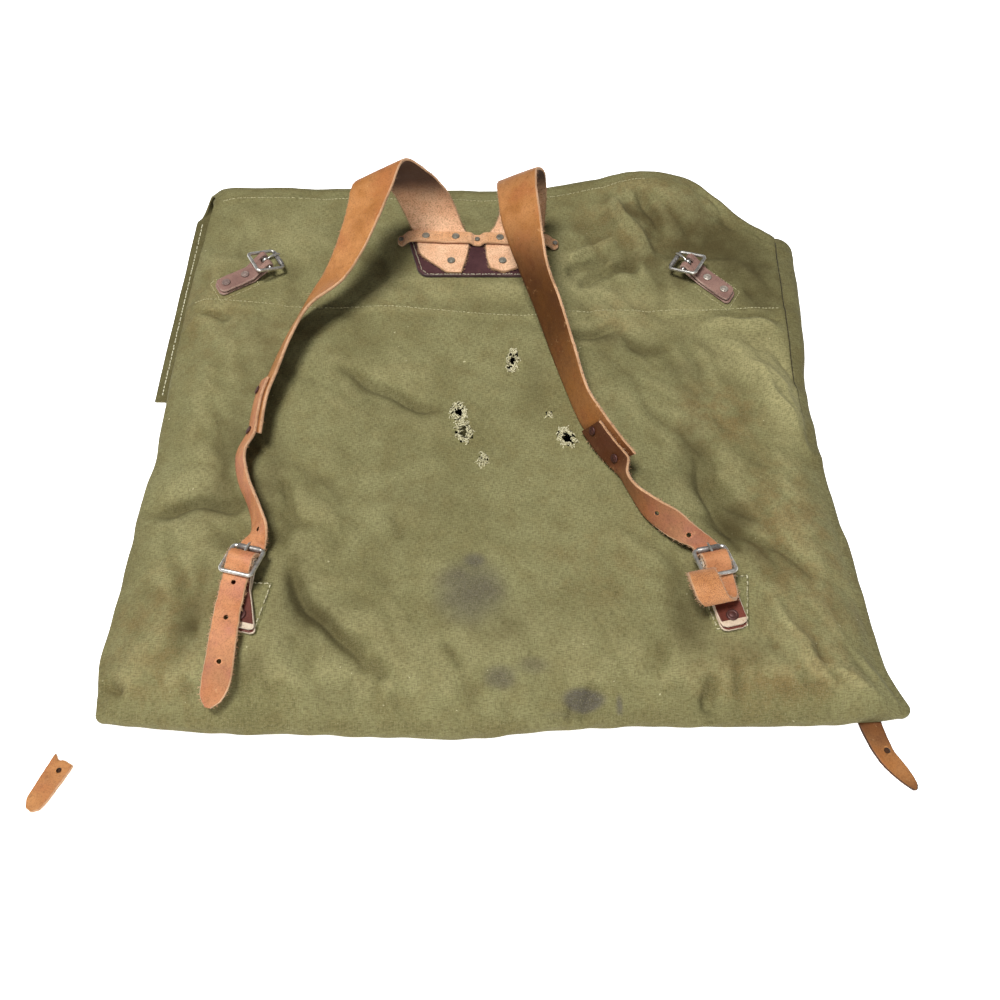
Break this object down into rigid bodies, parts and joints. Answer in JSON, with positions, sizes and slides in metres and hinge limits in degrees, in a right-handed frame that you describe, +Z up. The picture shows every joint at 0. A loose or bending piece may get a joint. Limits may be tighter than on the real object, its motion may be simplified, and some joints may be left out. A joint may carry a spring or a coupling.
{
  "type": "canvas rucksack",
  "caption": "Empty canvas rucksack lying on its flap with the back panel up; riveted leather shoulder straps loop from a yoke to roller buckles on sewn tabs.",
  "frame": {"origin": "on the ground under the middle of the whole object as it lies", "axes": "+Z up from the ground, +Y from the bottom of the bag to its top, +X to the right seen with the bottom of the bag near"},
  "size_m": [0.517, 0.519, 0.1122],
  "materials": {
    "canvas": "matte worn canvas",
    "leather_tan": "dry worn tan",
    "leather_dark": "dull dark brown",
    "steel": "dull plated wire",
    "rivet": "tarnished"
  },
  "bodies": {
    "bag": {"back_panel": "canvas", "front_panel": "canvas", "gusset_left": "canvas", "gusset_right": "canvas", "gusset_bottom": "canvas", "flap": "canvas", "patch_lower_left": "canvas", "patch_lower_right": "canvas", "yoke_band": "leather_tan", "shoulder_strap_left": "leather_tan", "shoulder_strap_right": "leather_tan", "strap_tail_left": "leather_tan", "strap_tail_right": "leather_tan", "closing_strap_right": "leather_tan", "torn_strap_tip": "leather_tan", "yoke_patch": "leather_dark", "tab_upper_left": "leather_dark", "tab_upper_right": "leather_dark", "tab_lower_left": "leather_dark", "tab_lower_right": "leather_dark", "buckle_frame_lower_left": "steel", "buckle_roller_lower_left": "steel", "buckle_prong_lower_left": "steel", "buckle_frame_lower_right": "steel", "buckle_roller_lower_right": "steel", "buckle_prong_lower_right": "steel", "rivet_band_1": "rivet", "rivet_band_2": "rivet", "rivet_band_3": "rivet", "rivet_band_4": "rivet", "rivet_band_5": "rivet", "rivet_band_6": "rivet", "rivet_band_7": "rivet", "rivet_strap_end_left": "rivet", "rivet_strap_end_right": "rivet", "rivet_splice_left_1": "rivet", "rivet_splice_left_2": "rivet", "rivet_splice_right_1": "rivet", "rivet_splice_right_2": "rivet", "rivet_tab_upper_left_1": "rivet", "rivet_tab_upper_left_2": "rivet", "rivet_tab_upper_right_1": "rivet", "rivet_tab_upper_right_2": "rivet", "rivet_tab_lower_left_1": "rivet", "rivet_tab_lower_right_1": "rivet"},
    "upper_left_frame": {"buckle_frame_upper_left": "steel"},
    "upper_left_roller": {"buckle_roller_upper_left": "steel"},
    "upper_left_prong": {"buckle_prong_upper_left": "steel"},
    "upper_right_frame": {"buckle_frame_upper_right": "steel"},
    "upper_right_roller": {"buckle_roller_upper_right": "steel"},
    "upper_right_prong": {"buckle_prong_upper_right": "steel"}
  },
  "joints": [
    {"name": "upper_left_frame_rock", "type": "hinge", "parent": "bag", "child": "upper_left_frame", "pos_m": [-0.16355, 0.14758, 0.0413], "axis": [0.5, -0.866, 0], "range_deg": [0, 12]},
    {"name": "upper_left_prong_lift", "type": "hinge", "parent": "upper_left_frame", "child": "upper_left_prong", "pos_m": [-0.16355, 0.14758, 0.0413], "axis": [0.5, -0.866, 0], "range_deg": [0, 95]},
    {"name": "upper_left_roller_spin", "type": "hinge", "parent": "upper_left_frame", "child": "upper_left_roller", "pos_m": [-0.15505, 0.15249, 0.03849], "axis": [0.5, -0.866, 0], "continuous": true},
    {"name": "upper_right_frame_rock", "type": "hinge", "parent": "bag", "child": "upper_right_frame", "pos_m": [0.15565, 0.14478, 0.042], "axis": [0.5, 0.866, 0], "range_deg": [0, 12]},
    {"name": "upper_right_prong_lift", "type": "hinge", "parent": "upper_right_frame", "child": "upper_right_prong", "pos_m": [0.15565, 0.14478, 0.042], "axis": [0.5, 0.866, 0], "range_deg": [0, 95]},
    {"name": "upper_right_roller_spin", "type": "hinge", "parent": "upper_right_frame", "child": "upper_right_roller", "pos_m": [0.14701, 0.14977, 0.03988], "axis": [0.5, 0.866, 0], "continuous": true}
  ]
}
